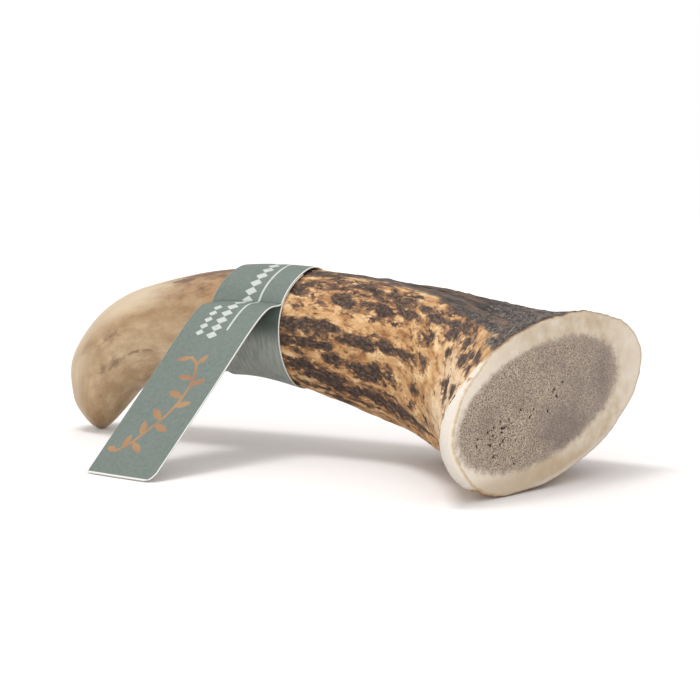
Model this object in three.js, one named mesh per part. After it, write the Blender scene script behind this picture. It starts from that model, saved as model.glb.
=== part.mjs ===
// A sawn length of red deer antler, lying on its cut edge and on its tip, with a paper strip round it.
// Millimetres, Z up, the ground at z = 0. X runs from the rounded tip to the sawn end.
import * as THREE from 'three';
import { mergeVertices } from 'three/addons/utils/BufferGeometryUtils.js';

// Sections of the antler from the tip to the cut. Each has its centre, the half widths towards -Y (near)
// and +Y (far), the half height, and how the section is turned: leaned back about Y, swung about Z and
// rolled in its own plane, in degrees.
const antlerSections = [
  { centre: [-104.5, 0, 0], near: 8, far: 8, half: 5, lean: 100, swing: 0, roll: 0 },
  { centre: [-102.7, 0, 12], near: 12, far: 12, half: 10.6, lean: 92, swing: 0, roll: 0 },
  { centre: [-98.5, 0, 22], near: 14, far: 14, half: 14.8, lean: 70, swing: 0, roll: 0 },
  { centre: [-86.3, 0, 33], near: 15.5, far: 15.5, half: 15.2, lean: 42, swing: 0, roll: 0 },
  { centre: [-67, 0, 37.6], near: 16.5, far: 16.5, half: 16.3, lean: 18, swing: 0, roll: 0 },
  { centre: [-40.5, 0, 40], near: 17, far: 17, half: 17.3, lean: 2, swing: 0, roll: 0 },
  { centre: [-11.5, 0, 36.5], near: 16.5, far: 18, half: 19.8, lean: -5, swing: 0, roll: 0 },
  { centre: [12.5, 0, 31.9], near: 17.7, far: 18.5, half: 21.8, lean: -7, swing: 2, roll: 0 },
  { centre: [32, -2.8, 27.7], near: 27, far: 20, half: 23, lean: -6, swing: 6, roll: 3 },
  { centre: [51, -9.9, 25.6], near: 38, far: 31, half: 22.5, lean: -3, swing: 11, roll: 8 },
  { centre: [67, -29.8, 24.2], near: 41.9, far: 50.2, half: 22.6, lean: 0, swing: 15, roll: 12.6 },
];
const facetsAround = 68;
const rowsOfSkin = 58;
const rowSpacing = 1.2; // over 1, so that the rows lie closer together at the tip
const tipRounding = 0.1;

// The cut's edge is broken all round, and wider at its near end: the face steps in by a share of its size.
const edgeBevel = { inset: 0.018, depth: 0.9 };
const nearBevel = { inset: 0.045, depth: 1.6, from: 0.7, full: 0.97 };

// A low swelling of the hidden far side, on which the antler stands between its tip and the cut.
const heel = { at: 0.865, reach: 0.08, angle: -60, spread: 0.55, height: 5 };

// Furrows that run along the beam, and the swellings between them. They fade out on the smooth tip, and
// are shallower at the rim of the cut.
const furrows = [
  { count: 7, depth: 0.34, drift: 1.6, phase: 0.4 },
  { count: 12, depth: 0.22, drift: -1.9, phase: 1.7 },
  { count: 5, depth: 0.3, drift: 7, phase: 2.6 },
];
const furrowStart = 0.5;
const furrowEnd = 0.78;
const driftTurn = 6; // radians of the slow wave in which the furrows drift, over the antler's whole length
const rimCalm = { from: 0.88, share: 0.6 };

// The paper strip: its flat size, where it crosses the beam, and how its tail falls to the ground.
const strip = { width: 25, thickness: 0.4, layerGap: 0.3, clearance: 0.55 };
const wrap = { startAngle: 24, creaseAngle: 426, creaseSkew: 1.3, centreX: -35.5, slant: 1.4 };
const pull = { towardsTip: 1.9, from: 372, firstTurn: [12, 66], back: [70, 150] };
const overlap = { from: 330, full: 378 };
const tail = { reach: 59.4, endHeight: 0.3, shoulderOut: 8.4, shoulderDrop: 3.4, drift: 6.4, swing: 9.9 };
const stripSteps = { along: 84, tail: 26, across: 3 };

// The origin of the whole part is on the ground, in the middle of its footprint.
const footprintMiddle = { x: -16.9, y: -28.2 };

const antlerColour = 0xa98459;
const paperColour = 0x83938b;

const radians = THREE.MathUtils.degToRad;

function curveThrough(points) {
  return new THREE.CatmullRomCurve3(points, false, 'catmullrom', 0.5);
}

const centreCurve = curveThrough(antlerSections.map((s) => new THREE.Vector3(...s.centre)));
const sizeCurve = curveThrough(antlerSections.map((s) => new THREE.Vector3(s.near, s.far, s.half)));
const turnCurve = curveThrough(antlerSections.map((s) => new THREE.Vector3(s.lean, s.swing, s.roll)));

// The section at t (0 at the tip, 1 at the cut): its centre, its half sizes and its three directions.
function sectionAt(t) {
  const size = sizeCurve.getPoint(t);
  const turn = turnCurve.getPoint(t);
  const lean = radians(turn.x);
  const swing = radians(turn.y);
  const roll = radians(turn.z);
  const flatSide = new THREE.Vector3(Math.sin(swing), Math.cos(swing), 0);
  const backwards = new THREE.Vector3(-Math.cos(swing), Math.sin(swing), 0);
  const flatUp = new THREE.Vector3(0, 0, Math.cos(lean)).addScaledVector(backwards, Math.sin(lean));
  const side = flatSide.clone().multiplyScalar(Math.cos(roll)).addScaledVector(flatUp, Math.sin(roll));
  const up = flatUp.clone().multiplyScalar(Math.cos(roll)).addScaledVector(flatSide, -Math.sin(roll));
  const along = side.clone().cross(up);
  return { centre: centreCurve.getPoint(t), near: size.x, far: size.y, half: size.z, side, up, along };
}

function furrowHeight(t, angle) {
  const calm = 1 - rimCalm.share * THREE.MathUtils.smoothstep(t, rimCalm.from, 1);
  const strength = calm * THREE.MathUtils.smoothstep(t, furrowStart, furrowEnd);
  let height = 0;
  for (const furrow of furrows) {
    const drift = furrow.drift * Math.sin(driftTurn * t);
    height += furrow.depth * Math.sin(furrow.count * angle + drift + furrow.phase);
  }
  return strength * height;
}

function heelHeight(t, angle) {
  const along = (t - heel.at) / heel.reach;
  const around = (1 - Math.cos(angle - radians(heel.angle))) / heel.spread ** 2;
  return heel.height * Math.exp(-along * along - around);
}

// A point of the skin at an angle counted from +Y: half width * cos and half height * sin, both drawn in
// by scale.
function skinPoint(section, angle, height, scale) {
  const width = Math.cos(angle) > 0 ? section.far : section.near;
  const across = Math.cos(angle) * (width + height) * scale;
  const above = Math.sin(angle) * (section.half + height) * scale;
  return section.centre.clone().addScaledVector(section.side, across).addScaledVector(section.up, above);
}

function antlerRow(row, angle) {
  const t = Math.min(row / rowsOfSkin, 1) ** rowSpacing;
  const section = sectionAt(t);
  const height = furrowHeight(t, angle) + heelHeight(t, angle);
  if (row < rowsOfSkin) {
    const inner = 1 - Math.min(t / tipRounding, 1);
    return skinPoint(section, angle, height, Math.sqrt(1 - inner * inner));
  }
  const nearEnd = THREE.MathUtils.smoothstep(-Math.cos(angle), nearBevel.from, nearBevel.full);
  if (row === rowsOfSkin) {
    return skinPoint(section, angle, height, 1).addScaledVector(section.along, -nearBevel.depth * nearEnd);
  }
  const scale = row > rowsOfSkin + 1 ? 0 : 1 - edgeBevel.inset - nearBevel.inset * nearEnd;
  return skinPoint(section, angle, height, scale).addScaledVector(section.along, edgeBevel.depth);
}

// A closed body from one of three's own geometries, its points moved by place.
function shapedBody(geometry, place) {
  const position = geometry.attributes.position;
  geometry.deleteAttribute('normal');
  geometry.deleteAttribute('uv');
  for (let index = 0; index < position.count; index += 1) {
    const point = place(index, new THREE.Vector3().fromBufferAttribute(position, index));
    position.setXYZ(index, point.x, point.y, point.z);
  }
  geometry.clearGroups();
  const merged = mergeVertices(geometry, 1e-4);
  merged.computeVertexNormals();
  return merged;
}

function antlerGeometry() {
  const sphere = new THREE.SphereGeometry(1, facetsAround, rowsOfSkin + 2);
  return shapedBody(sphere, (index) => {
    const row = Math.floor(index / (facetsAround + 1));
    const column = index % (facetsAround + 1);
    return antlerRow(row, (-2 * Math.PI * (column % facetsAround)) / facetsAround);
  });
}

// The beam's section under the strip at a given x, found by stepping along the centre curve.
function sectionAtX(x) {
  let low = 0.2;
  let high = 0.9;
  for (let step = 0; step < 24; step += 1) {
    const middle = (low + high) / 2;
    if (centreCurve.getPoint(middle).x < x) low = middle;
    else high = middle;
  }
  return sectionAt((low + high) / 2);
}

// A point on the strip where it lies round the beam. The angle is counted from the top towards -Y.
function wrapPoint(angle, x, out) {
  const section = sectionAtX(x);
  const lift = THREE.MathUtils.smoothstep(angle, overlap.from, overlap.full);
  const gap = strip.clearance + out + lift * (strip.thickness + strip.layerGap);
  const turn = radians(angle);
  const half = Math.sin(turn) > 0 ? section.near : section.far;
  const y = section.centre.y - Math.sin(turn) * (half + gap);
  const z = section.centre.z + Math.cos(turn) * (section.half + gap);
  return new THREE.Vector3(x, y, z);
}

// The x of the strip at an angle. It winds a little aslant, and near the crease the tail pulls both of its
// layers towards the tip.
function stripX(angle, across) {
  const outer = THREE.MathUtils.smoothstep(angle, pull.from, wrap.creaseAngle);
  const under = THREE.MathUtils.smoothstep(angle, ...pull.firstTurn);
  const pulled = outer + under * (1 - THREE.MathUtils.smoothstep(angle, ...pull.back));
  return wrap.centreX + wrap.slant * Math.cos(radians(angle)) - pull.towardsTip * pulled + across;
}

// The tail leaves the beam at the crease, runs over a low shoulder and falls straight to the ground.
function tailCurve(angle, x) {
  const crease = wrapPoint(angle, x, 0);
  const shoulder = new THREE.Vector3(x, crease.y - tail.shoulderOut, crease.z - tail.shoulderDrop);
  const end = new THREE.Vector3(x, crease.y - tail.reach, tail.endHeight);
  return curveThrough([crease, shoulder, shoulder.clone().lerp(end, 0.5), end]);
}

// A point on the tail, place running from 0 at the crease to 1 at the end. The tail drifts a little
// towards the tip and swings with it.
function tailPoint(place, angle, across, out) {
  const curve = tailCurve(angle, stripX(angle, across));
  const slope = curve.getTangent(place);
  const outward = new THREE.Vector3(0, slope.z, -slope.y);
  const point = curve.getPoint(place).addScaledVector(outward, out);
  point.x -= tail.drift * place;
  point.y -= across * Math.sin(radians(tail.swing) * place);
  return point;
}

function bandGeometry() {
  const tailStart = stripSteps.along - stripSteps.tail;
  const box = new THREE.BoxGeometry(1, 1, 1, stripSteps.across, stripSteps.along, 1);
  return shapedBody(box, (index, point) => {
    const step = Math.round((point.y + 0.5) * stripSteps.along);
    const out = point.z > 0 ? strip.thickness : 0;
    const across = -point.x * strip.width;
    const crease = wrap.creaseAngle - (2 * wrap.creaseSkew * across) / strip.width;
    const angle = THREE.MathUtils.lerp(wrap.startAngle, crease, Math.min(step / tailStart, 1));
    if (step <= tailStart) return wrapPoint(angle, stripX(angle, across), out);
    return tailPoint((step - tailStart) / stripSteps.tail, angle, across, out);
  });
}

function namedMesh(name, geometry, colour, roughness) {
  const material = new THREE.MeshStandardMaterial({ color: colour, roughness, metalness: 0 });
  const mesh = new THREE.Mesh(geometry, material);
  mesh.name = name;
  return mesh;
}

const group = new THREE.Group();
group.position.set(-footprintMiddle.x, -footprintMiddle.y, 0);
group.add(namedMesh('antler', antlerGeometry(), antlerColour, 0.7));
group.add(namedMesh('paper_band', bandGeometry(), paperColour, 0.85));

export default group;
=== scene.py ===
import math

import bpy
import numpy as np
from mathutils import Matrix


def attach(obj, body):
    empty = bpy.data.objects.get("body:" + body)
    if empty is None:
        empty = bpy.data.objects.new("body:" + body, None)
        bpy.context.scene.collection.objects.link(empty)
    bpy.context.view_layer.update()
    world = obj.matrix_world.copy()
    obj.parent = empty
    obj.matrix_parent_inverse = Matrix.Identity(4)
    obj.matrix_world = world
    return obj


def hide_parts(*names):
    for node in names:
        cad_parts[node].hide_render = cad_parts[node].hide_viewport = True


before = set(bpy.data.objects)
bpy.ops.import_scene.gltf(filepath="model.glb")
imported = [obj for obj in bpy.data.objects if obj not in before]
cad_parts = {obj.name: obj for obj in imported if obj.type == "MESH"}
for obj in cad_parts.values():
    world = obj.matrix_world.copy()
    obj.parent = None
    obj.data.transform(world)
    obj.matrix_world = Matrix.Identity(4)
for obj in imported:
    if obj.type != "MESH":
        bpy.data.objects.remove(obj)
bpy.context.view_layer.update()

millimetre = 0.001


def colour(red, green, blue):
    # a colour picked on a screen, 0 to 255, as the linear value that a shader takes
    screen = np.array([red, green, blue]) / 255
    linear = np.where(screen <= 0.04045, screen / 12.92, ((screen + 0.055) / 1.055) ** 2.4)
    return (*linear.tolist(), 1.0)


def smoothStep(low, high, value):
    # 0 at low, 1 at high and smooth between; low may be the larger of the two
    part = np.clip((value - low) / (high - low), 0, 1)
    return part * part * (3 - 2 * part)


def latticeNoise(points, seed):
    # random values on a unit lattice, blended between its eight corners by a quintic curve, -1 to 1
    cell = np.floor(points).astype(np.int64)
    part = points - cell
    blend = part ** 3 * (part * (part * 6 - 15) + 10)
    total = 0
    for corner in np.ndindex(2, 2, 2):
        at = cell + corner
        mixed = (at[..., 0] * 73856093) ^ (at[..., 1] * 19349663) ^ (at[..., 2] * 83492791) ^ (seed * 6971)
        mixed = (mixed ^ (mixed >> 13)) * 1274126177 & 0xFFFFFFFF
        mixed = (mixed ^ (mixed >> 15)) * 668265263 & 0xFFFFFFFF
        value = (mixed >> 12 & 0xFFFF) / 32767.5 - 1
        weight = np.prod(np.where(corner, blend, 1 - blend), axis=-1)
        total = total + weight * value
    return total


def layeredNoise(points, seed, layers):
    # each layer is twice as fine and half as strong as the one before
    return sum(latticeNoise(points * 2 ** k, seed + k) / 2 ** k for k in range(layers))


def curveThrough(values, t):
    # a Catmull-Rom curve through evenly spaced rows, carried on in a straight line past both ends; where
    # the rows are grids themselves, each place of t goes along its own column of points
    rows = np.concatenate([[2 * values[0] - values[1]], values, [2 * values[-1] - values[-2]]])
    along = np.clip(t, 0, 1) * (len(values) - 1)
    first = np.minimum(along.astype(int), len(values) - 2)
    part = (along - first)[..., None]
    if values.ndim == 2:
        near = [rows[first + k] for k in range(4)]
    else:
        near = [np.take_along_axis(rows, (first + k)[None, ..., None], axis=0)[0] for k in range(4)]
    before, start, end, after = near
    leave, arrive = (end - before) / 2, (after - start) / 2
    return (
        (2 * start - 2 * end + leave + arrive) * part ** 3
        + (3 * end - 3 * start - 2 * leave - arrive) * part ** 2
        + leave * part
        + start
    )


def lengthAlong(points):
    # the length from the first of a row of points to each of them, summed over the straight steps
    return np.concatenate([[0], np.cumsum(np.linalg.norm(np.diff(points, axis=0), axis=1))])


def loopQuads(rows, columns):
    # quads between neighbouring rows of a tube whose columns close on themselves
    row, column = np.meshgrid(np.arange(rows - 1), np.arange(columns), indexing="ij")
    here = row * columns + column
    beside = row * columns + (column + 1) % columns
    return np.stack([here, here + columns, beside + columns, beside], axis=-1).reshape(-1, 4).tolist()


def poleFans(rows, columns):
    # a fan of triangles at each end of a tube, to two pole vertices that follow the rows
    ring = np.arange(columns)
    turn = (ring + 1) % columns
    firstPole = rows * columns
    last = (rows - 1) * columns
    startFan = np.stack([np.full(columns, firstPole), ring, turn], axis=-1)
    endFan = np.stack([np.full(columns, firstPole + 1), last + turn, last + ring], axis=-1)
    return startFan.tolist() + endFan.tolist()


def addObject(name, data):
    thing = bpy.data.objects.new(name, data)
    bpy.context.scene.collection.objects.link(thing)
    return thing


def addPiece(name, points, faces, attributes, material):
    mesh = bpy.data.meshes.new(name)
    mesh.from_pydata(points.reshape(-1, 3) * millimetre, [], faces)
    for label, values in attributes.items():
        kind, field = ("FLOAT_VECTOR", "vector") if values.ndim == 2 else ("FLOAT", "value")
        layer = mesh.attributes.new(label, kind, "POINT")
        layer.data.foreach_set(field, values.astype(np.float32).ravel())
    mesh.polygons.foreach_set("use_smooth", np.ones(len(mesh.polygons), dtype=bool))
    mesh.materials.append(material)
    mesh.validate()
    mesh.update()
    return addObject(name, mesh)


class Shader:
    # a material whose nodes are added by short calls; each call gives back the node's output socket
    def __init__(self, name):
        self.material = bpy.data.materials.new(name)
        self.material.use_nodes = True
        self.tree = self.material.node_tree
        self.surface = self.tree.nodes["Principled BSDF"]

    def feed(self, socket, value):
        if isinstance(value, bpy.types.NodeSocket):
            self.tree.links.new(value, socket)
        else:
            socket.default_value = value

    def attribute(self, name, output="Fac"):
        node = self.tree.nodes.new("ShaderNodeAttribute")
        node.attribute_name = name
        return node.outputs[output]

    def axes(self, vector):
        node = self.tree.nodes.new("ShaderNodeSeparateXYZ")
        self.feed(node.inputs[0], vector)
        return node.outputs["X"], node.outputs["Y"], node.outputs["Z"]

    def maths(self, operation, *values):
        node = self.tree.nodes.new("ShaderNodeMath")
        node.operation = operation
        for socket, value in zip(node.inputs, values):
            self.feed(socket, value)
        return node.outputs[0]

    def plus(self, first, second):
        return self.maths("ADD", first, second)

    def times(self, first, second):
        return self.maths("MULTIPLY", first, second)

    def sway(self, value, noise, amount):
        # the value moved either way by a noise that lies round a half
        return self.plus(value, self.maths("MULTIPLY_ADD", noise, 2 * amount, -amount))

    def stretch(self, vector, scale, shift=(0, 0, 0)):
        node = self.tree.nodes.new("ShaderNodeMapping")
        self.feed(node.inputs["Vector"], vector)
        node.inputs["Scale"].default_value = scale
        node.inputs["Location"].default_value = shift
        return node.outputs[0]

    def noise(self, vector, scale, detail=2.0, roughness=0.5, distortion=0.0, shift=(0, 0, 0)):
        # three scales stretch the noise along the three axes
        if isinstance(scale, tuple):
            vector, scale = self.stretch(vector, scale, shift), 1.0
        node = self.tree.nodes.new("ShaderNodeTexNoise")
        self.feed(node.inputs["Vector"], vector)
        node.inputs["Scale"].default_value = scale
        node.inputs["Detail"].default_value = detail
        node.inputs["Roughness"].default_value = roughness
        node.inputs["Distortion"].default_value = distortion
        return node.outputs["Fac"]

    def cells(self, vector, scale):
        node = self.tree.nodes.new("ShaderNodeTexVoronoi")
        self.feed(node.inputs["Vector"], vector)
        node.inputs["Scale"].default_value = scale
        return node.outputs["Distance"]

    def range(self, value, low, high, out=(0.0, 1.0), smooth=True):
        node = self.tree.nodes.new("ShaderNodeMapRange")
        node.interpolation_type = "SMOOTHSTEP" if smooth else "LINEAR"
        self.feed(node.inputs["Value"], value)
        node.inputs["From Min"].default_value = low
        node.inputs["From Max"].default_value = high
        node.inputs["To Min"].default_value = out[0]
        node.inputs["To Max"].default_value = out[1]
        return node.outputs["Result"]

    def ramp(self, value, stops):
        # stops are pairs of a place and a screen colour
        node = self.tree.nodes.new("ShaderNodeValToRGB")
        self.feed(node.inputs["Fac"], value)
        elements = node.color_ramp.elements
        while len(elements) < len(stops):
            elements.new(0.5)
        for element, (place, shade) in zip(elements, stops):
            element.position = place
            element.color = colour(*shade)
        return node.outputs["Color"]

    def mix(self, factor, first, second):
        # from the first to the second, each a socket or a screen colour
        node = self.tree.nodes.new("ShaderNodeMix")
        node.data_type = "RGBA"
        self.feed(node.inputs[0], factor)
        for socket, value in ((node.inputs[6], first), (node.inputs[7], second)):
            self.feed(socket, colour(*value) if isinstance(value, tuple) else value)
        return node.outputs[2]

    def bump(self, height, strength, distance):
        node = self.tree.nodes.new("ShaderNodeBump")
        node.inputs["Strength"].default_value = strength
        node.inputs["Distance"].default_value = distance
        self.feed(node.inputs["Height"], height)
        return node.outputs["Normal"]

    def finish(self, **sockets):
        for name, value in sockets.items():
            self.feed(self.surface.inputs[name.replace("_", " ")], value)
        return self.material


antler = {
    # all sizes in millimetres and turns in degrees, but t runs from 0 at the tip to 1 at the cut
    # centre x, y, z; half width near and far; half height; how far leaned, swung and rolled
    "sections": [
        (-104.5, 0, 0, 8, 8, 5, 100, 0, 0),
        (-102.7, 0, 12, 12, 12, 10.6, 92, 0, 0),
        (-98.5, 0, 22, 14, 14, 14.8, 70, 0, 0),
        (-86.3, 0, 33, 15.5, 15.5, 15.2, 42, 0, 0),
        (-67, 0, 37.6, 16.5, 16.5, 16.3, 18, 0, 0),
        (-40.5, 0, 40, 17, 17, 17.3, 2, 0, 0),
        (-11.5, 0, 36.5, 16.5, 18, 19.8, -5, 0, 0),
        (12.5, 0, 31.9, 17.7, 18.5, 21.8, -7, 2, 0),
        (32, -2.8, 27.7, 27, 20, 23, -6, 6, 3),
        (51, -9.9, 25.6, 38, 31, 22.5, -3, 11, 8),
        (67, -29.8, 24.2, 41.9, 50.2, 22.6, 0, 15, 12.6),
    ],
    "footprintMiddle": (-16.9, -28.2, 0),
    "tipRounding": 0.1,
    # furrows: count, depth, drift and phase; then the t where they start and are full, and the rim's calm
    "furrows": ((7, 0.34, 1.6, 0.4), (12, 0.22, -1.9, 1.7), (5, 0.3, 7, 2.6)),
    "furrowsFrom": (0.5, 0.78),
    "driftTurn": 6,
    "rimCalm": {"from": 0.88, "share": 0.6},
    "heel": {"at": 0.865, "reach": 0.08, "angle": -60, "spread": 0.55, "height": 5},
    "columns": 300,
    "skinRows": 236,
    "rowSpacing": 1.12,
    "cutRings": 74,
    "rimDepth": 0.9,
    "rimInset": 0.018,
    "nearBevel": {"inset": 0.045, "depth": 1.6, "from": 0.7, "full": 0.97, "rows": 9},
    "wornRows": (16, 3),
    # heights of the fine relief, and how large its grains are
    "relief": {
        "dents": 0.25, "grooves": 0.14, "pearls": 0.26, "grain": 0.08, "patches": -0.2,
        "pebbles": 0.14, "flareGrooves": 0.35, "chips": -0.5, "wornDents": 0.12,
    },
    "grainSizes": {
        "grooves": (1.9, 1.9, 20), "pearls": (3.4, 3.4, 6.5), "grain": (1.5, 1.5, 2.6), "dents": 15,
    },
    "fanRadius": 20,      # the radius at which furrows and streaks keep their own width
    # the spongy core: its oval on the cut, how far it is sunk, its grain and pores
    "core": {
        "middle": (-0.4, 0.4), "half": (38, 16.5), "meanRadius": 22, "sunk": 0.22, "edge": (-0.5, 1.2),
        "grainSize": 1.3, "grainDepth": 0.12, "poreDepth": 0.9, "poresFrom": (0.5, 2),
        "stainWander": 3, "stainWanderSize": 6,
    },
    # a fine wave left by the saw, its turns in radians to the millimetre
    "sawMarks": {"height": 0.03, "turns": 1.9, "bend": 0.6, "bendTurns": 0.4},
    # big pores of the core, sunk and coloured near black as painted shade inside them: how many, round
    # which point of the cut, and how widely spread
    "bigPores": ((26, (-21, -1), (4.5, 1.7)), (9, (3, -1), (5, 2)), (14, (-20, -9), (8, 4))),
    "poreRadius": (0.2, 0.5),
    # duller stains of the core: middle, half sizes, strength
    "coreStains": (
        ((8, -10), (12, 6), 1), ((30, 1), (5, 6), 0.7), ((-24, 4), (9, 4), 0.5), ((6, 11), (12, 4), 0.4),
    ),
    # sizes of the two noises that make the zones' borders wander
    "wander": {"slow": (12, 12, 24), "quick": (3.2, 3.2, 6)},
    # zones of the skin; a pair is where a mask is none and where it is full, in millimetres from the tip
    # (run, rim) or in degrees round the beam, 180 on the near side and 270 on top; edge and blur go by run
    "zones": {
        "rough": {"run": (70, 98)},
        "grey": {
            "run": (100, 124), "last": (352, 318),
            "edge": ((95, 120, 140, 155, 170, 185, 207), (270, 261, 256, 249, 248, 248, 246)),
            "blur": ((150, 180), (4, 1.6)),
        },
        "orange": {"run": (52, 72), "first": (196, 222), "last": (330, 290)},
        "lip": {
            "run": (157, 182), "rim": (199, 205.5), "shares": (0.6, 0.4),
            "first": (150, 168), "last": (238, 215),
        },
        "chips": {"rim": (203.2, 205.2), "first": (198, 208), "last": (243, 233), "size": 2.4},
        "paleBack": {"run": (6, 22), "runEnd": (74, 50), "first": (188, 236), "last": (350, 300)},
        "nose": {"runEnd": (34, 18), "first": (168, 204), "last": (300, 250), "strength": 0.75},
        "busy": {
            "run": (104, 114), "runEnd": (190, 178), "first": (221, 234), "last": (276, 262),
            "strength": 0.29, "sway": 0.38,
        },
        "hidden": {
            "below": (140, 118), "behind": (250, 290), "blotches": (0.12, 0.62), "size": (4.4, 4.4, 11),
            "strength": 0.95,
        },
        "flare": {"run": (140, 190), "middle": 165, "aside": (60, 20)},
    },
    # dark patches of the bark: run, angle, half length, half width in degrees, strength
    "darkPatches": [
        (105, 229, 5, 10, 0.85), (112, 239, 4, 5, 0.6), (121, 221, 5, 6, 1.1), (116, 236, 3, 5, 0.7),
        (126, 239, 7, 4, 0.8), (131, 236, 6, 3, 0.7), (134, 230, 6, 3, 0.85), (140, 234, 5, 5, 0.8),
        (127, 216, 6, 2.5, 0.5), (135, 220, 7, 5, 1), (145, 223, 6, 4, 0.85), (152, 234, 4, 4, 0.7),
        (138, 210, 3, 3, 0.6), (107, 189, 6, 6, 1.05), (115, 193, 6, 5, 1.05), (128, 188, 8, 4.5, 1.1),
        (140, 190, 6, 4.5, 1.1), (147, 190, 5, 3.5, 0.9), (153, 194, 4, 3, 0.7), (161, 198, 4, 3, 0.9),
        (114, 177, 5, 5, 1.1), (121, 168, 4, 5, 1.1), (104, 174, 4, 6, 0.85), (109, 166, 4, 3, 0.6),
        (110, 151, 6, 8, 1.05), (118, 145, 8, 7, 1.15), (127, 140, 8, 6, 1.15), (137, 142, 7, 6, 1.1),
        (147, 143, 7, 6, 1.05), (157, 146, 7, 5, 1), (167, 148, 7, 4, 0.8), (131, 166, 4, 4, 1),
        (134, 162, 5, 4, 1.1), (137, 168, 4, 4.5, 1.1), (143, 168, 3, 3, 0.7), (134, 152, 5, 2, 0.7),
        (142, 154, 4, 2, 0.9), (158, 175, 2.5, 3.5, 0.85), (166, 162, 3, 3, 0.95), (150, 150, 6, 2, 0.8),
        (182, 205, 3, 4, 0.95), (175, 217, 2.5, 3.5, 0.85), (186, 226, 3, 3.5, 0.9),
        (198, 236, 3.5, 4, 0.95), (168, 224, 3, 3, 0.75), (160, 217, 3.5, 3.5, 0.9),
        (155, 210, 3, 3, 0.75), (159, 230, 4, 3.5, 0.95), (167, 235, 4.5, 3.5, 1), (174, 238, 3, 3, 0.9),
        (170, 229, 4, 2.5, 0.8), (180, 233, 3, 3, 0.9), (196, 209, 4, 3, 1), (199, 227, 3, 2.5, 0.9),
        (191, 231, 2.5, 3, 0.8), (106, 258, 8, 9, 0.95), (118, 262, 9, 5, 0.8),
    ],
    # faint spots and stains of the smooth tip, and painted shade on the underside of its end, given in the
    # same way
    "tipSpotsAndShade": [
        (64, 243, 3.5, 5, 1.1), (71, 251, 5, 5, 1.15), (79, 258, 8, 9, 1.4), (79, 242, 5, 4, 0.9),
        (57, 247, 3, 3, 0.35), (38, 190, 3, 7, 0.5), (25, 166, 3, 6, 0.65), (32, 159, 4, 5, 0.7),
        # the last two here are wide and lie on the underside of the tip's end: painted shade where it turns
        # down to the floor
        (39, 156, 5, 4, 0.7), (47, 154, 4, 3, 0.5), (7, 105, 9, 45, 0.16), (2, 150, 4, 60, 0.25),
        (20, 178, 2, 4, 0.2), (45, 205, 3, 4, 0.15), (69, 226, 3, 4, 0.3), (61, 215, 2.5, 4, 0.25),
    ],
    # colours as picked on a screen; a row of pairs is a ramp of places and colours
    "colours": {
        "ground": (
            (0.3, (124, 84, 50)), (0.41, (164, 122, 78)), (0.53, (190, 152, 106)), (0.67, (210, 182, 140)),
        ),
        "lip": (212, 192, 164),
        "patchEdge": (120, 82, 54),
        "charcoal": ((0.36, (42, 32, 28)), (0.5, (64, 50, 42)), (0.64, (98, 75, 58))),
        "slate": ((0.36, (24, 20, 19)), (0.46, (46, 39, 36)), (0.55, (66, 57, 51)), (0.66, (112, 100, 88))),
        "slateTan": (104, 80, 62),
        "slateMauve": (82, 70, 70),
        "tip": ((0.32, (138, 111, 79)), (0.5, (161, 136, 105)), (0.68, (184, 162, 130))),
        "tipPale": (188, 172, 148),
        "tipTan": ((0.36, (86, 58, 38)), (0.48, (121, 85, 56)), (0.64, (144, 108, 76))),
        # brown of the tip's spots, also used for the painted shade under its end
        "tipSpotsAndShade": (82, 58, 42),
        "ivory": ((0.32, (176, 156, 130)), (0.5, (190, 175, 153)), (0.66, (202, 191, 174))),
        "ivoryEnds": (216, 204, 188),
        "ivoryLow": (168, 144, 116),
        "sponge": (
            (0.12, (60, 49, 44)), (0.32, (112, 98, 88)), (0.52, (149, 134, 117)), (0.8, (186, 171, 148)),
        ),
        "calmSponge": ((0.1, (90, 77, 70)), (0.45, (135, 121, 109)), (0.8, (168, 154, 137))),
        "spongeClouds": (112, 98, 94),
        "spongeStains": (102, 88, 84),
        "spongeEdge": (150, 134, 122),
        "bevel": (202, 194, 183),
        # near black of the big pores: painted shade inside them
        "bigPores": (22, 17, 17),
        "rimLine": (166, 136, 94),
    },
    "seed": 11,
}


def sectionAt(t):
    # centre, half sizes and directions of the section at t, 0 at the tip and 1 at the cut
    values = curveThrough(np.array(antler["sections"], dtype=float), t)
    lean, swing, roll = (np.radians(values[..., k]) for k in (6, 7, 8))
    flatSide = np.stack([np.sin(swing), np.cos(swing), 0 * swing], axis=-1)
    flatUp = np.stack([-np.sin(lean) * np.cos(swing), np.sin(lean) * np.sin(swing), np.cos(lean)], axis=-1)
    side = flatSide * np.cos(roll)[..., None] + flatUp * np.sin(roll)[..., None]
    up = flatUp * np.cos(roll)[..., None] - flatSide * np.sin(roll)[..., None]
    return {
        "centre": values[..., :3] - antler["footprintMiddle"],
        "near": values[..., 3],
        "far": values[..., 4],
        "half": values[..., 5],
        "side": side,
        "up": up,
        "along": np.cross(side, up),
    }


def lengthAt(t):
    # millimetres along the centre line from the tip
    steps = np.linspace(0, 1, 800)
    return np.interp(t, steps, lengthAlong(sectionAt(steps)["centre"]))


def furrowHeight(t, angle):
    # a sum of sines round the beam that drift along it, none on the smooth tip and shallower at the cut
    slowDrift = np.sin(antler["driftTurn"] * t)
    waves = sum(
        depth * np.sin(count * angle + drift * slowDrift + phase)
        for count, depth, drift, phase in antler["furrows"]
    )
    calm = antler["rimCalm"]
    shallower = 1 - calm["share"] * smoothStep(calm["from"], 1, t)
    return waves * smoothStep(*antler["furrowsFrom"], t) * shallower


def heelHeight(t, angle):
    # a low swelling of the far side, on which the antler stands: a bell along the beam times one round it
    heel = antler["heel"]
    along = (t - heel["at"]) / heel["reach"]
    around = (1 - np.cos(angle - np.radians(heel["angle"]))) / heel["spread"] ** 2
    return heel["height"] * np.exp(-along ** 2 - around)


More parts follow.
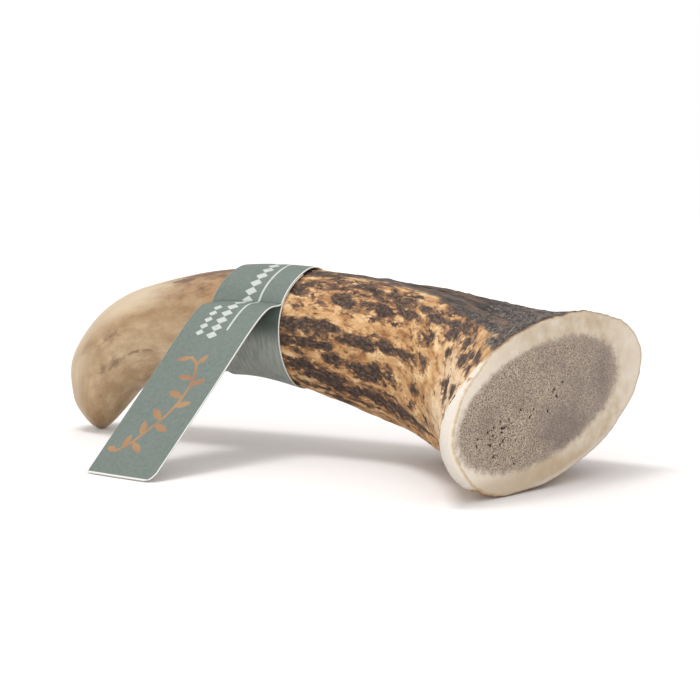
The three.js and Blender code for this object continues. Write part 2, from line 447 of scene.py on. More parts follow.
def nearEnd(angle):
    # 1 at the near end of the cut, where its edge is broken more widely, else 0
    return smoothStep(antler["nearBevel"]["from"], antler["nearBevel"]["full"], -np.cos(angle))


def sectionPoint(section, angle, height, scale):
    # centre + side * cos(angle) * half width + up * sin(angle) * half height, drawn in by scale
    width = np.where(np.cos(angle) > 0, section["far"], section["near"])
    across = np.cos(angle) * (width + height) * scale
    above = np.sin(angle) * (section["half"] + height) * scale
    place = section["centre"] + section["side"] * across[..., None] + section["up"] * above[..., None]
    return place, np.stack([across, above], axis=-1)


def patchField(patches, run, degrees, wander):
    # the strongest of many soft ellipses in length and angle, their edges moved by the wandering noise
    field = np.zeros_like(run)
    for length, turn, halfLength, halfWidth, strength in patches:
        around = (degrees - turn + 180) % 360 - 180 + 2.2 * wander[1]
        away = ((run - length + 2.2 * wander[0]) / halfLength) ** 2 + (around / halfWidth) ** 2
        field = np.maximum(field, strength * np.exp(-0.7 * away))
    return field


def between(zone, degrees, wandering=0):
    # 1 between a zone's two edges round the beam and smooth at them; the first edge may wander
    return smoothStep(*zone["first"], degrees + wandering) * smoothStep(*zone["last"], degrees)


def skinMasks(angle, run):
    # masks over the skin, 0 to 1, with borders that wander by a slow and two quick noises; all of them lie
    # on a beam of even width, so that they fan out over the flare
    zones, seed, radius = antler["zones"], antler["seed"], antler["fanRadius"]
    degrees = np.degrees(-angle) % 360
    fan = np.stack([np.cos(angle) * radius, np.sin(angle) * radius, run], axis=-1)
    slow = layeredNoise(fan / antler["wander"]["slow"], seed, 3)
    quick = [layeredNoise(fan / antler["wander"]["quick"], seed + 20 + k, 3) for k in range(2)]
    rough = smoothStep(*zones["rough"]["run"], run + 7 * slow)

    # the grey zone lies along the back; its lower edge comes down and sharpens towards the cut
    zone = zones["grey"]
    edge = degrees - np.interp(run, *zone["edge"]) + 1 + 5 * quick[0]
    grey = smoothStep(-1, 1, edge / np.interp(run, *zone["blur"]))
    grey = grey * smoothStep(*zone["last"], degrees + 9 * slow) * smoothStep(*zone["run"], run + 6 * slow)

    zone = zones["orange"]
    orange = between(zone, degrees, 5 * quick[0]) * smoothStep(*zone["run"], run + 5 * quick[1])

    # single patches in front, and a net of blotches below the grey zone and on the hidden sides
    dark = patchField(antler["darkPatches"], run, degrees, quick)
    zone = zones["hidden"]
    hidden = smoothStep(*zone["below"], degrees) + smoothStep(*zone["behind"], degrees)
    wild = smoothStep(*zone["blotches"], layeredNoise(fan / zone["size"], seed + 40, 3))
    dark = np.maximum(dark, zone["strength"] * wild * np.clip(hidden, 0, 1) * rough)
    zone = zones["busy"]
    busy = between(zone, degrees, 6 * slow) * smoothStep(*zone["run"], run)
    busy = busy * smoothStep(*zone["runEnd"], run + 4 * slow)
    dark = np.maximum(dark, busy * (zone["strength"] + zone["sway"] * quick[0]))
    # the tip's spots, with painted shade under its end
    spotsAndShade = patchField(antler["tipSpotsAndShade"], run, degrees, quick)

    # the bark is chipped off the lip of the cut above its near end
    zone = zones["chips"]
    broken = layeredNoise(fan / zone["size"], seed + 60, 2)
    chips = between(zone, degrees) * smoothStep(*zone["rim"], run + 2.6 * broken)

    # the bark pales towards the lip of the cut, and the smooth skin along its back and at its nose
    zone = zones["lip"]
    lip = between(zone, degrees)
    paler = zone["shares"][0] * smoothStep(*zone["run"], run + 6 * slow)
    paler = paler + zone["shares"][1] * smoothStep(*zone["rim"], run + 2.5 * quick[0])
    zone = zones["paleBack"]
    back = between(zone, degrees, 6 * slow) * smoothStep(*zone["runEnd"], run + 6 * slow)
    back = back * smoothStep(*zone["run"], run + 4 * slow)
    zone = zones["nose"]
    nose = zone["strength"] * between(zone, degrees, 6 * slow) * smoothStep(*zone["runEnd"], run + 5 * slow)
    pale = np.maximum(lip * paler + back, nose)
    masks = {"rough": rough, "grey": grey, "dark": dark, "spotsAndShade": spotsAndShade, "orange": orange, "pale": pale}
    return fan, masks, chips


def skinHeight(t, angle, run, body, fan, masks, chips):
    # furrows, heel and dents everywhere, and the bark's fine relief where its masks are
    relief = antler["relief"]
    sizes, zone = antler["grainSizes"], antler["zones"]["flare"]
    grooves = 1 - 2 * np.abs(latticeNoise(fan / sizes["grooves"], 31))
    pearls = layeredNoise(fan / sizes["pearls"], 47, 2)
    grain = layeredNoise(body / sizes["grain"], 61, 2)
    dents = layeredNoise(body / sizes["dents"], 71, 2)
    aside = np.abs(np.degrees(-angle) % 360 - zone["middle"])
    flare = smoothStep(*zone["run"], run) * smoothStep(*zone["aside"], aside)
    bark = relief["grooves"] * grooves + relief["pearls"] * pearls + relief["grain"] * grain
    height = furrowHeight(t, angle) + heelHeight(t, angle) + relief["dents"] * dents
    height = height + masks["rough"] * (bark + relief["patches"] * masks["dark"])
    height = height + relief["pebbles"] * masks["grey"] * grain + relief["flareGrooves"] * flare * grooves
    height = height + relief["chips"] * chips
    # the near end's lip is worn smooth
    rows = antler["skinRows"]
    start, full = antler["wornRows"]
    worn = nearEnd(angle) * smoothStep(rows - start, rows - full, np.arange(rows + 1))[:, None]
    return height * (1 - worn) + worn * (furrowHeight(t, angle) + relief["wornDents"] * dents)


def cutRings(rimHeight, rimAngle):
    # the sawn face: rings drawn in from the rim to the middle, with a shallow, pitted core
    cut = sectionAt(np.ones(antler["columns"]))
    edge = 1 - antler["rimInset"] - antler["nearBevel"]["inset"] * nearEnd(rimAngle)
    scales = np.concatenate([[1], np.linspace(1, 0, antler["cutRings"])[1:-1] * 0.985])
    rings = [sectionPoint(cut, rimAngle, rimHeight, edge * scale) for scale in scales]
    place = np.array([ring[0] for ring in rings])
    flat = np.array([ring[1] for ring in rings])
    core, seed = antler["core"], antler["seed"]
    out = np.linalg.norm((flat - core["middle"]) / core["half"], axis=-1)
    depth = (1 - out) * core["meanRadius"]      # about how far inside the core's edge, in millimetres
    pits = np.random.default_rng(seed)
    pores = np.zeros_like(depth)
    for number, around, spread in antler["bigPores"]:
        for middle in pits.normal(around, spread, (number, 2)):
            radius = pits.uniform(*antler["poreRadius"])
            pores = np.maximum(pores, np.exp(-(np.linalg.norm(flat - middle, axis=-1) / radius) ** 2))
    level = np.concatenate([flat, 0 * flat[..., :1]], axis=-1)
    wander = core["stainWander"] * layeredNoise(level / core["stainWanderSize"], seed + 9, 3)
    stains = np.zeros_like(depth)
    for middle, half, strength in antler["coreStains"]:
        away = np.linalg.norm((flat + wander[..., None] - middle) / half, axis=-1)
        stains = np.maximum(stains, strength * np.exp(-0.7 * away ** 2))
    sponge = layeredNoise(level / core["grainSize"], seed + 5, 2)
    marks = antler["sawMarks"]
    bend = marks["bend"] * np.sin(flat[..., 1] * marks["bendTurns"])
    saw = marks["height"] * np.sin(flat[..., 0] * marks["turns"] + bend)
    pores = pores * smoothStep(*core["poresFrom"], depth)
    sunk = smoothStep(*core["edge"], depth) * (core["sunk"] + core["grainDepth"] * sponge)
    sunk = sunk + core["poreDepth"] * pores
    place = place + cut["along"] * (antler["rimDepth"] + saw - sunk)[..., None]
    return place, flat, depth, pores, stains


def overAll(onSkin, onCut, atTip, atMiddle):
    # one attribute over the whole antler: the skin's rows, the cut's rings, then the two poles
    values = onSkin.reshape(onSkin.shape[0] * onSkin.shape[1], -1)
    rings = onCut.reshape(onCut.shape[0] * onCut.shape[1], -1)
    return np.concatenate([values, rings, [np.atleast_1d(atTip)], [np.atleast_1d(atMiddle)]])


def makeAntler(material):
    rows, columns, bevel = antler["skinRows"], antler["columns"], antler["nearBevel"]
    t = (np.arange(rows + 1) / rows) ** antler["rowSpacing"]
    t[0] = t[1] * 0.3
    t, angle = np.meshgrid(t, -np.arange(columns) / columns * 2 * np.pi, indexing="ij")
    section = sectionAt(t)
    run = lengthAt(t)
    draw = np.sqrt(1 - (1 - np.minimum(t / antler["tipRounding"], 1)) ** 2)
    _, flat = sectionPoint(section, angle, 0 * t, draw)
    body = np.concatenate([flat, run[..., None]], axis=-1)
    fan, masks, chips = skinMasks(angle, run)
    height = skinHeight(t, angle, run, body, fan, masks, chips)
    skin, _ = sectionPoint(section, angle, height, draw)
    lastRows = smoothStep(rows - bevel["rows"], rows, np.arange(rows + 1))[:, None]
    back = bevel["depth"] * nearEnd(angle) * lastRows
    skin = skin - section["along"] * back[..., None]
    face, faceFlat, depth, pores, stains = cutRings(height[-1], angle[-1])

    poles = [skin[0].mean(axis=0), face[-1].mean(axis=0)]
    points = np.concatenate([skin.reshape(-1, 3), face.reshape(-1, 3), poles])
    # places on the grown shape: across, above and along it, the last one just past the skin on the cut
    past = run[-1, 0] + 0.5
    faceBody = np.concatenate([faceFlat, np.full(depth.shape + (1,), past)], axis=-1)
    bare, onFace = np.zeros(run.shape), np.zeros(depth.shape)
    # the bevel of the near end and the chips are bare bone like the cut; the rim line goes round the face
    sawn, rim, edge = bare.copy(), bare.copy(), onFace.copy()
    sawn[-1] = smoothStep(0.15, 0.5, nearEnd(angle[-1]))
    rim[-1] = 0.7 * (1 - sawn[-1])
    sawn = np.maximum(sawn, chips)
    edge[:2] = [[1], [0.6]]
    attributes = {
        "grown": overAll(body, faceBody, [0, 0, 0], [0, 0, past]) * millimetre,
        "fanned": overAll(fan, faceBody, [0, 0, 0], [0, 0, past]) * millimetre,
        "cut": overAll(sawn, onFace + 1, 0, 1).ravel(),
        "rim": overAll(rim, edge, 0, 0).ravel(),
        "stains": overAll(bare, stains, 0, 0).ravel(),
        "core": overAll(bare - 20, depth, -20, 20).ravel(),
        "pores": overAll(bare, pores, 0, 0).ravel(),
    }
    for label, mask in masks.items():
        attributes[label] = overAll(mask, onFace, mask[0].mean(), 0).ravel()
    count = rows + 1 + len(face)
    faces = loopQuads(count, columns) + poleFans(count, columns)
    return addPiece("antler_length", points, faces, attributes, material)


def barkColour(shader, fanned):
    # golden ground with cream and tan clouds, under a ragged net of charcoal patches with brown edges
    colours = antler["colours"]
    clouds = shader.noise(fanned, (260, 260, 150), 5, 0.66, 0.3)
    ground = shader.ramp(clouds, colours["ground"])
    ground = shader.mix(shader.range(shader.attribute("pale"), 0, 1, (0, 0.85)), ground, colours["lip"])
    coarse = shader.noise(fanned, (460, 460, 260), 3, 0.6, 0.3)
    fine = shader.noise(fanned, (1200, 1200, 700), 3, 0.6, 0.2)
    flecks = shader.noise(fanned, (360, 360, 220), 3, 0.6, 0.3, (0.3, 0.2, 0.1))
    gaps = shader.noise(fanned, (600, 600, 330), 2, 0.6, 0.2, (0.1, 0.5, 0.2))
    reach = shader.sway(shader.attribute("dark"), coarse, 0.75)
    reach = shader.sway(reach, fine, 0.4)
    reach = shader.plus(reach, shader.range(flecks, 0.52, 0.66, (0, 0.42)))
    reach = shader.plus(reach, shader.range(gaps, 0.54, 0.68, (0, -0.35)))
    browned = shader.mix(shader.range(reach, 0.02, 0.36, (0, 0.8)), ground, colours["patchEdge"])
    charcoal = shader.ramp(fine, colours["charcoal"])
    mottled = shader.mix(shader.range(reach, 0.3, 0.58), browned, charcoal)
    return shader.mix(shader.attribute("grey"), mottled, slateColour(shader, fanned))


def slateColour(shader, fanned):
    # dark grey back, streaked along the beam with black, mauve and tan, and pebbly towards the cut
    colours = antler["colours"]
    streaks = shader.noise(fanned, (950, 950, 110), 4, 0.65, 0.4)
    pebbles = shader.noise(fanned, (1000, 1000, 620), 3, 0.7, 0.6)
    pebbles = shader.range(pebbles, 0.3, 0.7, (0.22, 0.8), smooth=False)
    _, _, length = shader.axes(fanned)
    pattern = shader.mix(shader.range(length, 0.15, 0.19), streaks, pebbles)
    slate = shader.ramp(pattern, colours["slate"])
    bands = shader.noise(fanned, (420, 420, 45), 3, 0.6, 0.3, (0.7, 0.1, 0.4))
    slate = shader.mix(shader.range(bands, 0.54, 0.62, (0, 0.6)), slate, colours["slateTan"])
    return shader.mix(shader.range(bands, 0.46, 0.38, (0, 0.6)), slate, colours["slateMauve"])


def tipColour(shader, grown):
    # pale beige with warm clouds, faint brown spots and painted shade under its end, and tan towards the
    # band
    colours = antler["colours"]
    beige = shader.ramp(shader.noise(grown, (120, 120, 70), 5, 0.62), colours["tip"])
    beige = shader.mix(shader.range(shader.attribute("pale"), 0, 1, (0, 0.7)), beige, colours["tipPale"])
    patchy = shader.noise(grown, (330, 330, 200), 4, 0.65)
    tan = shader.ramp(patchy, colours["tipTan"])
    warm = shader.times(shader.attribute("orange"), shader.range(patchy, 0.25, 0.55, (0.95, 0.65)))
    beige = shader.mix(warm, beige, tan)
    fine = shader.noise(grown, (700, 700, 460), 4, 0.7)
    freckles = shader.noise(grown, (520, 520, 330), 3, 0.6, shift=(0.4, 0.1, 0.3))
    spotsAndShade = shader.sway(shader.attribute("spotsAndShade"), fine, 0.55)
    spotsAndShade = shader.plus(spotsAndShade, shader.range(freckles, 0.58, 0.72, (0, 0.25)))
    return shader.mix(shader.range(spotsAndShade, 0.12, 0.95, (0, 0.8)), beige, colours["tipSpotsAndShade"])


def ivoryColour(shader, flatGrown, across, above):
    # the hard outer ring: cloudy, palest at both ends of the oval and browner below
    colours = antler["colours"]
    ivory = shader.ramp(shader.noise(flatGrown, 150, 4, 0.6), colours["ivory"])
    farEnd = shader.range(across, 0.032, 0.045, (0, 0.5))
    nearSide = shader.range(across, 0.004, -0.032, (0, 0.95))
    ivory = shader.mix(shader.plus(farEnd, nearSide), ivory, colours["ivoryEnds"])
    low = shader.maths("MULTIPLY_ADD", across, 0.12, above)
    return shader.mix(shader.range(low, -0.013, -0.019, (0, 0.62)), ivory, colours["ivoryLow"])


def spongeColour(shader, flatGrown, across, grit):
    # the core: open pores between pale walls, livelier at its near side and calmer at its far side
    colours = antler["colours"]
    holes = shader.cells(flatGrown, 2500)
    walls = shader.cells(shader.stretch(flatGrown, (1, 1, 1), (0.31, 0.17, 0)), 1900)
    texture = shader.range(holes, 0.12, 0.55, (0, 0.55))
    texture = shader.plus(texture, shader.range(walls, 0.6, 0.1, (0, 0.28)))
    texture = shader.sway(texture, grit, 0.65)
    quiet = shader.sway(across, shader.noise(flatGrown, 26, 2, 0.5), 0.025)
    sponge = shader.mix(
        shader.range(quiet, -0.014, 0.022),
        shader.ramp(texture, colours["sponge"]),
        shader.ramp(texture, colours["calmSponge"]),
    )
    clouds = shader.noise(flatGrown, 95, 3, 0.6)
    sponge = shader.mix(shader.range(clouds, 0.42, 0.62, (0, 0.3)), sponge, colours["spongeClouds"])
    stained = shader.range(shader.attribute("stains"), 0.2, 0.9, (0, 0.5))
    return shader.mix(stained, sponge, colours["spongeStains"])


def cutColour(shader, grown):
    # an ivory ring with a tan rim line round the spongy core, and bare bone outside the rim
    colours = antler["colours"]
    core = shader.attribute("core")
    flatGrown = shader.stretch(grown, (1, 1, 0))
    across, above, _ = shader.axes(grown)
    wobble = shader.noise(flatGrown, 420, 4, 0.7)
    grit = shader.noise(flatGrown, 2300, 2, 0.7)
    inside = shader.sway(shader.sway(core, wobble, 2.3), grit, 1.5)
    ivory = ivoryColour(shader, flatGrown, across, above)
    sponge = spongeColour(shader, flatGrown, across, grit)
    sponge = shader.mix(shader.range(inside, 0, 3.6, (0.3, 0)), sponge, colours["spongeEdge"])
    cut = shader.mix(shader.range(inside, -1.1, 1.5), ivory, sponge)
    cut = shader.mix(shader.range(core, -6, -9), cut, colours["bevel"])
    # painted shade: the big pores are coloured near black for the shade inside them
    cut = shader.mix(shader.range(shader.attribute("pores"), 0.25, 0.6), cut, colours["bigPores"])
    broken = shader.times(shader.attribute("rim"), shader.range(wobble, 0.3, 0.55, (0.85, 1)))
    return shader.mix(shader.range(broken, 0.7, 1, (0, 0.6)), cut, colours["rimLine"])


def antlerMaterial():
    # the smooth tip, the bark and the sawn bone, each where its mask is, over one fine grain
    shader = Shader("antler_bone")
    grown = shader.attribute("grown", "Vector")
    fanned = shader.attribute("fanned", "Vector")
    rough = shader.attribute("rough")
    skin = shader.mix(rough, tipColour(shader, grown), barkColour(shader, fanned))
    sawn = shader.range(shader.attribute("cut"), 0.6, 0.85)
    shade = shader.mix(sawn, skin, cutColour(shader, grown))
    grain = shader.noise(fanned, (900, 900, 300), 5, 0.65)
    pits = shader.noise(grown, 1500, 3, 0.7)
    bumped = shader.bump(shader.mix(sawn, grain, pits), 0.4, 0.0005)
    dullness = shader.plus(shader.range(grain, 0.3, 0.7, (0.5, 0.68)), shader.times(rough, 0.14))
    return shader.finish(Base_Color=shade, Roughness=dullness, Specular_IOR_Level=0.3, Normal=bumped)


band = {
    # all sizes in millimetres and turns in degrees
    "width": 25,
    "thickness": 0.36,
    "layerGap": 0.12,
    "clearance": 0.4,
    # where the strip starts and creases, from the top of the beam towards its near side
    "startAngle": 24,
    "creaseAngle": 426,
    "creaseSkew": 1.3,
    "overlap": (330, 378),
    "centreX": -35.5,
    "slant": 1.4,
    "pull": {"towardsTip": 1.9, "from": 372, "firstTurn": (12, 66), "back": (70, 150)},
    "tail": {
        "reach": 59.4, "endHeight": 0.25, "shoulderOut": 8.4, "shoulderDrop": 3.4,
        "drift": 6.4, "swing": 9.9,
    },
    "tailLength": 76,
    "wrapSteps": 330,
    "tailSteps": 220,
    "acrossSteps": 70,
    "cornerRadius": 3,
    # bare white paper border, wider at the right-hand edge as a painted highlight
    "whiteBorderAndHighlight": {"right": 0.3, "left": 0.05, "end": 0.4},
    # the printing, in millimetres over the flat strip: across it from its middle, along it from the crease
    "sprigStemHalf": 0.5,
    "sprigStem": [(-7.5, 68), (-4, 65), (-0.8, 59.5), (2.4, 53), (4, 46), (3.8, 38.5), (1.6, 32), (-2, 29)],
    # leaves: where each starts, its direction in degrees (0 across, 90 up the strip), its length and width
    "sprigLeaves": [
        (-7.2, 67.8, 165, 4, 2.2), (-5.6, 66.5, 85, 5.5, 2.1), (-3, 64, -35, 6, 2.3),
        (-1.6, 61, 110, 6, 2.3), (0.8, 56.5, -20, 6, 2.4), (1.6, 54.6, 140, 6.5, 2.4),
        (3.4, 49, 25, 5.5, 2.3), (4, 45.4, 160, 6.5, 2.4), (4, 40.5, 40, 5.5, 2.2),
        (3.6, 37.6, 175, 6, 2.2), (1.6, 32, 65, 5, 2), (-1.6, 29.2, 195, 5.5, 2),
    ],
    # rows of pale lozenges: place across, first and last place along, pitch, half length, half width
    "lozengeRows": [(-4.8, 7, 20, 2.9, 1.35, 1.6), (0.2, -30, 21, 3.3, 1.6, 2.1)],
    "lozengeSlope": 0.7,      # how much of its half width a lozenge's field rises by at its middle
    # the rule beside them: place across, first and last place along, half width
    "rule": (4.4, -29, 17, 0.35),
    "colours": {
        "paper": (208, 208, 203),
        "green": ((88, 98, 92), (98, 108, 101)),
        "greenClouds": (102, 111, 105),
        # painted shade on the first layer under the crease
        "paintedCreaseShade": (66, 75, 70),
        "streaks": (172, 174, 168),
        "copper": ((136, 93, 58), (156, 116, 74)),
        "pale": (186, 189, 185),
    },
}


def sectionAtX(x):
    # the beam's section under the band at a given x of the beam, from a table over its middle part
    t = np.linspace(0.3, 0.7, 400)
    places = sectionAt(t)["centre"][:, 0] + antler["footprintMiddle"][0]
    return sectionAt(np.interp(x, places, t))


def stripX(angle, across):
    # the strip winds a little aslant, and near the crease the tail pulls both layers towards the tip
    pull = band["pull"]
    pulled = smoothStep(pull["from"], band["creaseAngle"], angle)
    pulled = pulled + smoothStep(*pull["firstTurn"], angle) * (1 - smoothStep(*pull["back"], angle))
    aslant = band["slant"] * np.cos(np.radians(angle))
    return band["centreX"] + aslant - pull["towardsTip"] * pulled + across


def wrapPoint(angle, x, out):
    # round the beam: the section's half sizes plus the paper's distance from it, angle from the top
    section = sectionAtX(x)
    lift = smoothStep(*band["overlap"], angle) * (band["thickness"] + band["layerGap"])
    gap = band["clearance"] + out + lift
    turn = np.radians(angle)
    half = np.where(np.sin(turn) > 0, section["near"], section["far"])
    y = section["centre"][..., 1] - np.sin(turn) * (half + gap)
    z = section["centre"][..., 2] + np.cos(turn) * (section["half"] + gap)
    return np.stack([x - antler["footprintMiddle"][0], y, z], axis=-1)


def tailPoint(place, crease, across, out):
    # a curve from the crease over a low shoulder and down to the ground, drifting and swinging a little
    tail = band["tail"]
    shoulder = crease + [0, -tail["shoulderOut"], -tail["shoulderDrop"]]
    reach = crease[..., 1] - tail["reach"]
    end = np.stack([crease[..., 0], reach, np.full(reach.shape, tail["endHeight"])], axis=-1)
    route = np.stack([crease, shoulder, (shoulder + end) / 2, end])
    here = curveThrough(route, place)
    ahead = curveThrough(route, np.minimum(place + 0.01, 1))
    ahead = ahead - curveThrough(route, np.maximum(place - 0.01, 0))
    ahead = ahead / np.linalg.norm(ahead, axis=-1, keepdims=True)
    outward = np.stack([0 * reach, ahead[..., 2], -ahead[..., 1]], axis=-1)
    here = here + outward * out[..., None]
    here[..., 0] -= tail["drift"] * place
    here[..., 1] -= across * np.sin(np.radians(tail["swing"]) * place)
    return here


def sprigField(wide, along):
    # how far inside the sprig a point lies, in millimetres: a stem of even width and pointed leaves
    stem = curveThrough(np.array(band["sprigStem"], dtype=float), np.linspace(0, 1, 90))
    field = band["sprigStemHalf"] - np.min([np.hypot(wide - x, along - y) for x, y in stem], axis=0)
    for x, y, turn, length, width in band["sprigLeaves"]:
        cos, sin = np.cos(np.radians(turn)), np.sin(np.radians(turn))
        u = ((wide - x) * cos - (along - y) * sin) / length * 2 - 1
        v = (wide - x) * sin + (along - y) * cos
        field = np.maximum(field, width / 2 * (1 - u ** 2) - np.abs(v))
    return np.clip(field, -1, 1)


def paleField(wide, along):
    # the same for the rows of lozenges and the thin rule beside them
    middle, start, end, half = band["rule"]
    field = np.minimum(half - np.abs(wide - middle), np.minimum(along - start, end - along))
    for middle, start, end, pitch, halfLength, halfWidth in band["lozengeRows"]:
        for place in np.arange(start, end, pitch):
            away = np.abs(wide - middle) / halfWidth + np.abs(along - place) / halfLength
            field = np.maximum(field, (1 - away) * halfWidth * band["lozengeSlope"])
    return np.clip(field, -1, 1)


def endQuads(rows, columns):
    # the two short ends of the strip, closed between its outer and its inner side
    around = 2 * (columns + 1)
    quads = []
    for first, turned in ((0, False), ((rows - 1) * around, True)):
        for k in range(columns):
            quad = [first + k, first + k + 1, first + around - 2 - k, first + around - 1 - k]
            quads.append(quad[::-1] if turned else quad)
    return quads


def makeBand(material):
    wrapSteps, tailSteps, columns = band["wrapSteps"], band["tailSteps"], band["acrossSteps"]
    width, radius = band["width"], band["cornerRadius"]
    # one loop round the paper's own section: across its outer side, then back along its inner side
    across = np.linspace(-0.5, 0.5, columns + 1)
    loop = np.concatenate([across, across[::-1]])
    outside = np.concatenate([np.ones(columns + 1), np.zeros(columns + 1)])
    step, loop = np.meshgrid(np.arange(wrapSteps + tailSteps + 1), loop, indexing="ij")
    out = np.broadcast_to(outside, loop.shape) * band["thickness"]
    place = np.clip((step - wrapSteps) / tailSteps, 0, 1)
    # the tail's right-hand corner is rounded: its last rows are squeezed to the width the corner leaves
    left = (1 - place) * band["tailLength"]
    cornerCut = radius - np.sqrt(np.maximum(radius ** 2 - np.maximum(radius - left, 0) ** 2, 0))
    cornerCut = np.where(step > wrapSteps, cornerCut, 0)
    wide = (loop * width + width / 2) * (1 - cornerCut / width) - width / 2
    crease = band["creaseAngle"] - 2 * band["creaseSkew"] * wide / width
    angle = band["startAngle"] + (crease - band["startAngle"]) * np.minimum(step / wrapSteps, 1)
    wrapped = wrapPoint(angle, stripX(angle, wide), out)
    hanging = tailPoint(place, wrapPoint(crease, stripX(crease, wide), 0 * out), wide, out)
    points = np.where((step <= wrapSteps)[..., None], wrapped, hanging)
    # millimetres along the strip from the crease, measured down its middle
    along = lengthAlong(points[:, columns // 2])
    along = np.broadcast_to((along - along[wrapSteps])[:, None], wide.shape)
    print("flat length of the strip in millimetres", round(along[-1, 0] - along[0, 0], 1))
    # the white border shows at the right-hand edge and at the end, and hardly at the left; at the
    # right-hand edge it is widened as a painted highlight of the paper's edge
    white = band["whiteBorderAndHighlight"]
    right = width / 2 - cornerCut - wide
    borderAndHighlight = np.minimum(right - white["right"], wide + width / 2 - white["left"])
    borderAndHighlight = np.minimum(borderAndHighlight, left - white["end"])
    attributes = {
        "strip": np.stack([wide, along, out], axis=-1).reshape(-1, 3) * millimetre,
        "printed": np.where(out > 0, 1.0, 0.0).ravel(),
        "sprig": np.where(out > 0, sprigField(wide, along), -1).ravel(),
        "lozenges": np.where(out > 0, paleField(wide, along), -1).ravel(),
        "borderAndHighlight": np.clip(borderAndHighlight, -1, 1).ravel(),
    }
    faces = loopQuads(*points.shape[:2]) + endQuads(len(points), columns)
    return addPiece("paper_strip", points, faces, attributes, material)


def greenPrint(shader, strip, fibres, clouds):
    # grey-green ink, with painted shade under the crease, and streaked with pale lines on the strip's first
    # layer
    colours = band["colours"]
    green = shader.mix(shader.range(fibres, 0.3, 0.7), *colours["green"])
    green = shader.mix(shader.range(clouds, 0.3, 0.7, (0, 0.3)), green, colours["greenClouds"])
    _, down, _ = shader.axes(strip)
    # painted shade: darker green on the first layer just under the crease, where the tail's shoulder shades
    # it
    creaseShadeMask = shader.times(shader.range(down, -0.13, -0.12), shader.range(down, -0.1, -0.108))
    green = shader.mix(creaseShadeMask, green, colours["paintedCreaseShade"])
    streaks = shader.noise(strip, (1500, 160, 0), 3, 0.6)
    under = shader.times(shader.range(down, -0.109, -0.101), shader.range(down, -0.07, -0.088))
    streaked = shader.times(under, shader.range(streaks, 0.34, 0.64, (0.22, 0.52)))
    return shader.mix(streaked, green, colours["streaks"])


def paperMaterial():
    # white paper printed green, with a copper sprig and pale lozenges, and bare along its border, which is
    # widened at the right-hand edge as a painted highlight
    shader = Shader("green_paper")
    colours = band["colours"]
    strip = shader.attribute("strip", "Vector")
    fibres = shader.noise(strip, (900, 900, 900), 4, 0.6)
    clouds = shader.noise(strip, 60, 2, 0.5)
    green = greenPrint(shader, strip, fibres, clouds)
    worn = shader.range(fibres, 0.3, 0.42, (0.55, 1))
    copper = shader.mix(shader.range(clouds, 0.35, 0.65), *colours["copper"])
    inked = shader.times(shader.range(shader.attribute("sprig"), -0.12, 0.12), worn)
    green = shader.mix(shader.times(inked, 0.85), green, copper)
    inked = shader.times(shader.range(shader.attribute("lozenges"), -0.12, 0.12), worn)
    green = shader.mix(shader.times(inked, 0.8), green, colours["pale"])
    onFace = shader.range(shader.attribute("printed"), 0.55, 0.95)
    # the bare border, wider at the right-hand edge as a painted highlight
    face = shader.times(onFace, shader.range(shader.attribute("borderAndHighlight"), -0.15, 0.1))
    shade = shader.mix(face, colours["paper"], green)
    bumped = shader.bump(fibres, 0.15, 0.0003)
    return shader.finish(Base_Color=shade, Roughness=0.62, Specular_IOR_Level=0.35, Normal=bumped)


room = {
    # metres, degrees and watts
    "floorSize": 6.0,
    # painted light: grey near the object to deepen its shadows, white far off where the lamps reach less
    "floorNear": (223, 220, 219),
    "floorFar": (254, 254, 254),
    "overhead": {"place": (-0.2, -0.15, 1.3), "size": 0.42, "power": 9},
    "fill": {"place": (0.35, -1.3, 0.3), "size": 1.1, "power": 9},
    "skyStrength": 1.0,
    "cameraPlace": (0.25716, -0.44042, 0.08706),
    "cameraTurn": 28.0,
    "cameraDip": 5.89,
    "cameraRoll": 0.51,
    "lens": 87.43,
}


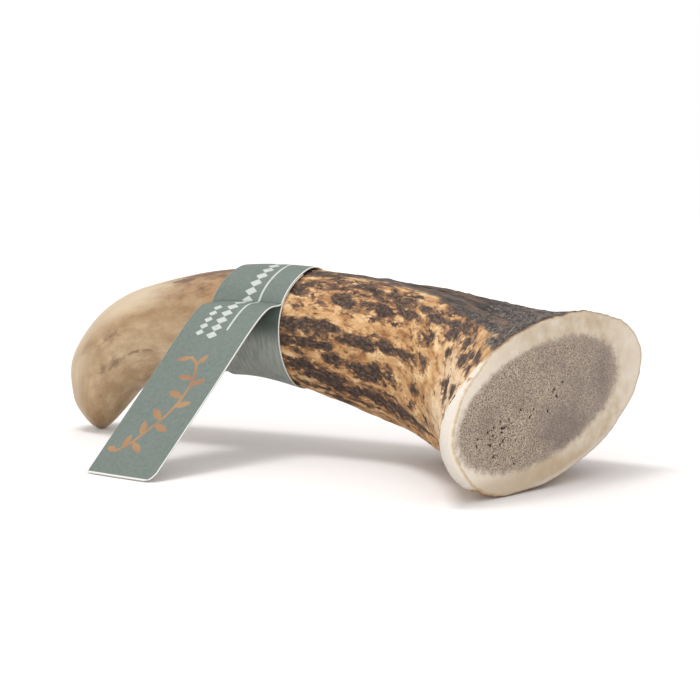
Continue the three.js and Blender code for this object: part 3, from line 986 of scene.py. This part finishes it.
def makeFloor():
    # painted light: the floor grows paler away from the object, where the lamps light it less, so that it
    # meets the white behind it; its grey near the object deepens the shadows there
    half = room["floorSize"] / 2
    mesh = bpy.data.meshes.new("floor")
    corners = [(-half, -half, 0), (half, -half, 0), (half, half, 0), (-half, half, 0)]
    mesh.from_pydata(corners, [], [(0, 1, 2, 3)])
    shader = Shader("studio_white")
    place = shader.tree.nodes.new("ShaderNodeTexCoord").outputs["Object"]
    distance = shader.tree.nodes.new("ShaderNodeVectorMath")
    distance.operation = "LENGTH"
    shader.feed(distance.inputs[0], place)
    away = shader.plus(distance.outputs["Value"], shader.times(shader.noise(place, 3, 2), 0.1))
    shade = shader.mix(shader.range(away, 0.3, 1.0), room["floorNear"], room["floorFar"])
    mesh.materials.append(shader.finish(Base_Color=shade, Roughness=0.9))
    floor = addObject("floor", mesh)


def makeLight(name, settings):
    lamp = bpy.data.lights.new(name, "AREA")
    lamp.energy = settings["power"]
    lamp.size = settings["size"]
    light = addObject(name, lamp)
    light.location = settings["place"]
    aim = -light.location.normalized()
    light.rotation_mode = "QUATERNION"
    light.rotation_quaternion = aim.to_track_quat("-Z", "Y")


def makeSky():
    world = bpy.data.worlds.new("sky")
    world.use_nodes = True
    sky = world.node_tree.nodes["Background"]
    sky.inputs["Color"].default_value = (1, 1, 1, 1)
    sky.inputs["Strength"].default_value = room["skyStrength"]
    bpy.context.scene.world = world
    bpy.context.scene.view_settings.view_transform = "Standard"


def makeCamera():
    lens = bpy.data.cameras.new("camera")
    lens.lens = room["lens"]
    lens.sensor_width = 36
    camera = addObject("camera", lens)
    turn = Matrix.Rotation(math.radians(room["cameraTurn"]), 4, "Z")
    tilt = Matrix.Rotation(math.radians(90 - room["cameraDip"]), 4, "X")
    roll = Matrix.Rotation(math.radians(room["cameraRoll"]), 4, "Z")
    camera.matrix_world = Matrix.Translation(room["cameraPlace"]) @ turn @ tilt @ roll
    bpy.context.scene.camera = camera


print("antler")
antlerPiece = makeAntler(antlerMaterial())
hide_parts("antler")
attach(antlerPiece, "root")

print("paper band")
bandPiece = makeBand(paperMaterial())
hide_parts("paper_band")
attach(bandPiece, "root")

print("room")
makeFloor()
makeLight("overhead", room["overhead"])
makeLight("fill", room["fill"])
makeSky()
makeCamera()

print("done")
